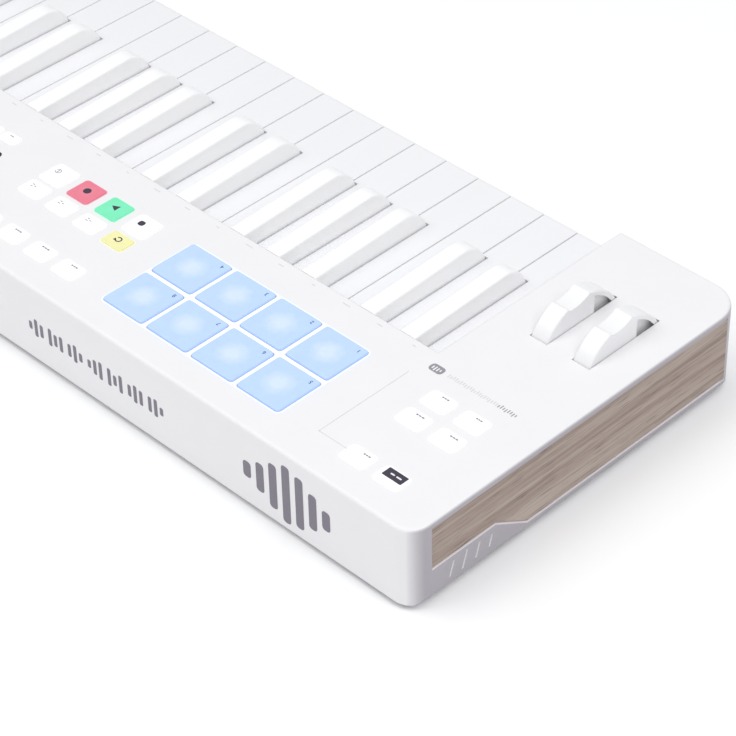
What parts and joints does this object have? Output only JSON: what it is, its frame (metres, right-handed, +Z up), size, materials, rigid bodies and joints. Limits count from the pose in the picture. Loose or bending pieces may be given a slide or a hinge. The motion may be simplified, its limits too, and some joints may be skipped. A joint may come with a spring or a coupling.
{
  "type": "midi controller keyboard",
  "caption": "Flat white keyboard controller with wood side inlays, piano keys, two wheels at the left, lit pads, transport buttons, a display, knobs and faders.",
  "frame": {"origin": "centre of the footprint, on the surface the feet stand on", "axes": "+X to the player's right along the keys, +Y away from the player, +Z up"},
  "size_m": [0.781, 0.2396, 0.0653],
  "materials": {
    "case_plastic": "satin white moulded plastic",
    "base_plastic": "fine-grained light grey plastic",
    "wood": "bleached walnut, open grain, matt oil",
    "screw_steel": "zinc plated",
    "foot_rubber": "matt black rubber",
    "chassis_plastic": "dark grey structural plastic",
    "rod_steel": "ground steel",
    "circuit_board": "green solder mask",
    "contact_rubber": "grey silicone",
    "bracket_plastic": "dark grey plastic",
    "sensor_blue": "blue sensor housing",
    "metal_can": "pressed steel",
    "display_glass": "dark tinted window",
    "display_cell": "display cell",
    "socket_black": "black plastic",
    "key_white": "polished white plastic",
    "key_upper": "satin white plastic",
    "wheel_white": "satin white rim, grey sides",
    "pad_blue": "translucent silicone, lit pale blue",
    "button_green": "translucent, lit mint green",
    "button_red": "translucent, lit pink red",
    "button_yellow": "translucent, lit yellow",
    "button_white": "satin white keycap",
    "knob_grey": "satin white, fluted",
    "fader_white": "satin white with a dark line"
  },
  "bodies": {
    "case": {"top_case": "case_plastic", "bottom_cover": "base_plastic", "wood_inlays": "wood", "case_screws": "screw_steel", "rubber_feet": "foot_rubber", "key_chassis": "chassis_plastic", "key_pivot_rod": "rod_steel", "key_scan_board": "circuit_board", "key_contact_strip": "contact_rubber", "wheel_bracket": "bracket_plastic", "wheel_sensors": "sensor_blue", "encoder_bodies": "metal_can", "fader_bodies": "metal_can", "control_board": "circuit_board", "display_window": "display_glass", "display_module": "display_cell", "usb_socket": "metal_can", "midi_socket": "socket_black", "midi_insert": "socket_black", "pedal_socket": "socket_black"},
    "key_c": {"key_c": "key_white"},
    "key_d": {"key_d": "key_white"},
    "key_e": {"key_e": "key_white"},
    "key_f": {"key_f": "key_white"},
    "key_g": {"key_g": "key_white"},
    "key_a": {"key_a": "key_white"},
    "key_b": {"key_b": "key_white"},
    "key_cs": {"key_cs": "key_upper"},
    "key_ds": {"key_ds": "key_upper"},
    "key_fs": {"key_fs": "key_upper"},
    "key_gs": {"key_gs": "key_upper"},
    "key_as": {"key_as": "key_upper"},
    "keys_octave_2": {"keys_octave_2": "key_white"},
    "keys_octave_3": {"keys_octave_3": "key_white"},
    "keys_octave_4": {"keys_octave_4": "key_white"},
    "pitch_wheel": {"pitch_wheel": "wheel_white"},
    "mod_wheel": {"mod_wheel": "wheel_white"},
    "pad_1": {"pad_1": "pad_blue"},
    "pad_2": {"pad_2": "pad_blue"},
    "pad_3": {"pad_3": "pad_blue"},
    "pad_4": {"pad_4": "pad_blue"},
    "pad_5": {"pad_5": "pad_blue"},
    "pad_6": {"pad_6": "pad_blue"},
    "pad_7": {"pad_7": "pad_blue"},
    "pad_8": {"pad_8": "pad_blue"},
    "play_button": {"play_button": "button_green"},
    "record_button": {"record_button": "button_red"},
    "loop_button": {"loop_button": "button_yellow"},
    "panel_buttons": {"panel_buttons": "button_white"},
    "knob_1": {"knob_1": "knob_grey"},
    "knob_2": {"knob_2": "knob_grey"},
    "knob_3": {"knob_3": "knob_grey"},
    "knob_4": {"knob_4": "knob_grey"},
    "knob_5": {"knob_5": "knob_grey"},
    "knob_6": {"knob_6": "knob_grey"},
    "knob_7": {"knob_7": "knob_grey"},
    "knob_8": {"knob_8": "knob_grey"},
    "knob_9": {"knob_9": "knob_grey"},
    "browse_knob": {"browse_knob": "knob_grey"},
    "fader_caps": {"fader_caps": "fader_white"}
  },
  "joints": [
    {"name": "key_c_press", "type": "hinge", "parent": "case", "child": "key_c", "pos_m": [0, 0.06535, 0.022], "axis": [1, 0, 0], "range_deg": [0, 3], "stiffness_Nm_per_rad": 0.6, "springref_deg": -14.32},
    {"name": "key_d_press", "type": "hinge", "parent": "case", "child": "key_d", "pos_m": [0, 0.06535, 0.022], "axis": [1, 0, 0], "range_deg": [0, 3], "stiffness_Nm_per_rad": 0.6, "springref_deg": -14.32},
    {"name": "key_e_press", "type": "hinge", "parent": "case", "child": "key_e", "pos_m": [0, 0.06535, 0.022], "axis": [1, 0, 0], "range_deg": [0, 3], "stiffness_Nm_per_rad": 0.6, "springref_deg": -14.32},
    {"name": "key_f_press", "type": "hinge", "parent": "case", "child": "key_f", "pos_m": [0, 0.06535, 0.022], "axis": [1, 0, 0], "range_deg": [0, 3], "stiffness_Nm_per_rad": 0.6, "springref_deg": -14.32},
    {"name": "key_g_press", "type": "hinge", "parent": "case", "child": "key_g", "pos_m": [0, 0.06535, 0.022], "axis": [1, 0, 0], "range_deg": [0, 3], "stiffness_Nm_per_rad": 0.6, "springref_deg": -14.32},
    {"name": "key_a_press", "type": "hinge", "parent": "case", "child": "key_a", "pos_m": [0, 0.06535, 0.022], "axis": [1, 0, 0], "range_deg": [0, 3], "stiffness_Nm_per_rad": 0.6, "springref_deg": -14.32},
    {"name": "key_b_press", "type": "hinge", "parent": "case", "child": "key_b", "pos_m": [0, 0.06535, 0.022], "axis": [1, 0, 0], "range_deg": [0, 3], "stiffness_Nm_per_rad": 0.6, "springref_deg": -14.32},
    {"name": "key_cs_press", "type": "hinge", "parent": "case", "child": "key_cs", "pos_m": [0, 0.06535, 0.022], "axis": [1, 0, 0], "range_deg": [0, 3], "stiffness_Nm_per_rad": 0.6, "springref_deg": -14.32},
    {"name": "key_ds_press", "type": "hinge", "parent": "case", "child": "key_ds", "pos_m": [0, 0.06535, 0.022], "axis": [1, 0, 0], "range_deg": [0, 3], "stiffness_Nm_per_rad": 0.6, "springref_deg": -14.32},
    {"name": "key_fs_press", "type": "hinge", "parent": "case", "child": "key_fs", "pos_m": [0, 0.06535, 0.022], "axis": [1, 0, 0], "range_deg": [0, 3], "stiffness_Nm_per_rad": 0.6, "springref_deg": -14.32},
    {"name": "key_gs_press", "type": "hinge", "parent": "case", "child": "key_gs", "pos_m": [0, 0.06535, 0.022], "axis": [1, 0, 0], "range_deg": [0, 3], "stiffness_Nm_per_rad": 0.6, "springref_deg": -14.32},
    {"name": "key_as_press", "type": "hinge", "parent": "case", "child": "key_as", "pos_m": [0, 0.06535, 0.022], "axis": [1, 0, 0], "range_deg": [0, 3], "stiffness_Nm_per_rad": 0.6, "springref_deg": -14.32},
    {"name": "keys_octave_2_press", "type": "hinge", "parent": "case", "child": "keys_octave_2", "pos_m": [0, 0.06535, 0.022], "axis": [1, 0, 0], "range_deg": [0, 3], "stiffness_Nm_per_rad": 7.2, "springref_deg": -14.32},
    {"name": "keys_octave_3_press", "type": "hinge", "parent": "case", "child": "keys_octave_3", "pos_m": [0, 0.06535, 0.022], "axis": [1, 0, 0], "range_deg": [0, 3], "stiffness_Nm_per_rad": 7.2, "springref_deg": -14.32},
    {"name": "keys_octave_4_press", "type": "hinge", "parent": "case", "child": "keys_octave_4", "pos_m": [0, 0.06535, 0.022], "axis": [1, 0, 0], "range_deg": [0, 3], "stiffness_Nm_per_rad": 7.8, "springref_deg": -14.32},
    {"name": "pitch_wheel_turn", "type": "hinge", "parent": "case", "child": "pitch_wheel", "pos_m": [-0.3636, -0.05065, 0.0364], "axis": [1, 0, 0], "range_deg": [-45, 45], "stiffness_Nm_per_rad": 0.05},
    {"name": "mod_wheel_turn", "type": "hinge", "parent": "case", "child": "mod_wheel", "pos_m": [-0.3361, -0.05065, 0.0364], "axis": [1, 0, 0], "range_deg": [-45, 45]},
    {"name": "pad_1_press", "type": "slide", "parent": "case", "child": "pad_1", "axis": [0, 0, -1], "range_m": [0, 0.0012], "stiffness_N_per_m": 2000, "springref_m": -0.001},
    {"name": "pad_2_press", "type": "slide", "parent": "case", "child": "pad_2", "axis": [0, 0, -1], "range_m": [0, 0.0012], "stiffness_N_per_m": 2000, "springref_m": -0.001},
    {"name": "pad_3_press", "type": "slide", "parent": "case", "child": "pad_3", "axis": [0, 0, -1], "range_m": [0, 0.0012], "stiffness_N_per_m": 2000, "springref_m": -0.001},
    {"name": "pad_4_press", "type": "slide", "parent": "case", "child": "pad_4", "axis": [0, 0, -1], "range_m": [0, 0.0012], "stiffness_N_per_m": 2000, "springref_m": -0.001},
    {"name": "pad_5_press", "type": "slide", "parent": "case", "child": "pad_5", "axis": [0, 0, -1], "range_m": [0, 0.0012], "stiffness_N_per_m": 2000, "springref_m": -0.001},
    {"name": "pad_6_press", "type": "slide", "parent": "case", "child": "pad_6", "axis": [0, 0, -1], "range_m": [0, 0.0012], "stiffness_N_per_m": 2000, "springref_m": -0.001},
    {"name": "pad_7_press", "type": "slide", "parent": "case", "child": "pad_7", "axis": [0, 0, -1], "range_m": [0, 0.0012], "stiffness_N_per_m": 2000, "springref_m": -0.001},
    {"name": "pad_8_press", "type": "slide", "parent": "case", "child": "pad_8", "axis": [0, 0, -1], "range_m": [0, 0.0012], "stiffness_N_per_m": 2000, "springref_m": -0.001},
    {"name": "play_button_press", "type": "slide", "parent": "case", "child": "play_button", "axis": [0, 0, -1], "range_m": [0, 0.001], "stiffness_N_per_m": 500, "springref_m": -0.001},
    {"name": "record_button_press", "type": "slide", "parent": "case", "child": "record_button", "axis": [0, 0, -1], "range_m": [0, 0.001], "stiffness_N_per_m": 500, "springref_m": -0.001},
    {"name": "loop_button_press", "type": "slide", "parent": "case", "child": "loop_button", "axis": [0, 0, -1], "range_m": [0, 0.001], "stiffness_N_per_m": 500, "springref_m": -0.001},
    {"name": "panel_buttons_press", "type": "slide", "parent": "case", "child": "panel_buttons", "axis": [0, 0, -1], "range_m": [0, 0.001], "stiffness_N_per_m": 8000, "springref_m": -0.001},
    {"name": "knob_1_turn", "type": "hinge", "parent": "case", "child": "knob_1", "pos_m": [0.1049, 0.09435, 0.058], "axis": [0, 0, -1], "range_deg": [-150, 150]},
    {"name": "knob_2_turn", "type": "hinge", "parent": "case", "child": "knob_2", "pos_m": [0.1371, 0.09435, 0.058], "axis": [0, 0, -1], "range_deg": [-150, 150]},
    {"name": "knob_3_turn", "type": "hinge", "parent": "case", "child": "knob_3", "pos_m": [0.1693, 0.09435, 0.058], "axis": [0, 0, -1], "range_deg": [-150, 150]},
    {"name": "knob_4_turn", "type": "hinge", "parent": "case", "child": "knob_4", "pos_m": [0.2015, 0.09435, 0.058], "axis": [0, 0, -1], "range_deg": [-150, 150]},
    {"name": "knob_5_turn", "type": "hinge", "parent": "case", "child": "knob_5", "pos_m": [0.2337, 0.09435, 0.058], "axis": [0, 0, -1], "range_deg": [-150, 150]},
    {"name": "knob_6_turn", "type": "hinge", "parent": "case", "child": "knob_6", "pos_m": [0.2659, 0.09435, 0.058], "axis": [0, 0, -1], "range_deg": [-150, 150]},
    {"name": "knob_7_turn", "type": "hinge", "parent": "case", "child": "knob_7", "pos_m": [0.2981, 0.09435, 0.058], "axis": [0, 0, -1], "range_deg": [-150, 150]},
    {"name": "knob_8_turn", "type": "hinge", "parent": "case", "child": "knob_8", "pos_m": [0.3303, 0.09435, 0.058], "axis": [0, 0, -1], "range_deg": [-150, 150]},
    {"name": "knob_9_turn", "type": "hinge", "parent": "case", "child": "knob_9", "pos_m": [0.3625, 0.09435, 0.058], "axis": [0, 0, -1], "range_deg": [-150, 150]},
    {"name": "browse_knob_turn", "type": "hinge", "parent": "case", "child": "browse_knob", "pos_m": [0.0709, 0.08035, 0.058], "axis": [0, 0, -1], "continuous": true},
    {"name": "fader_caps_slide", "type": "slide", "parent": "case", "child": "fader_caps", "axis": [0, 1, 0], "range_m": [-0.015, 0.015]}
  ]
}
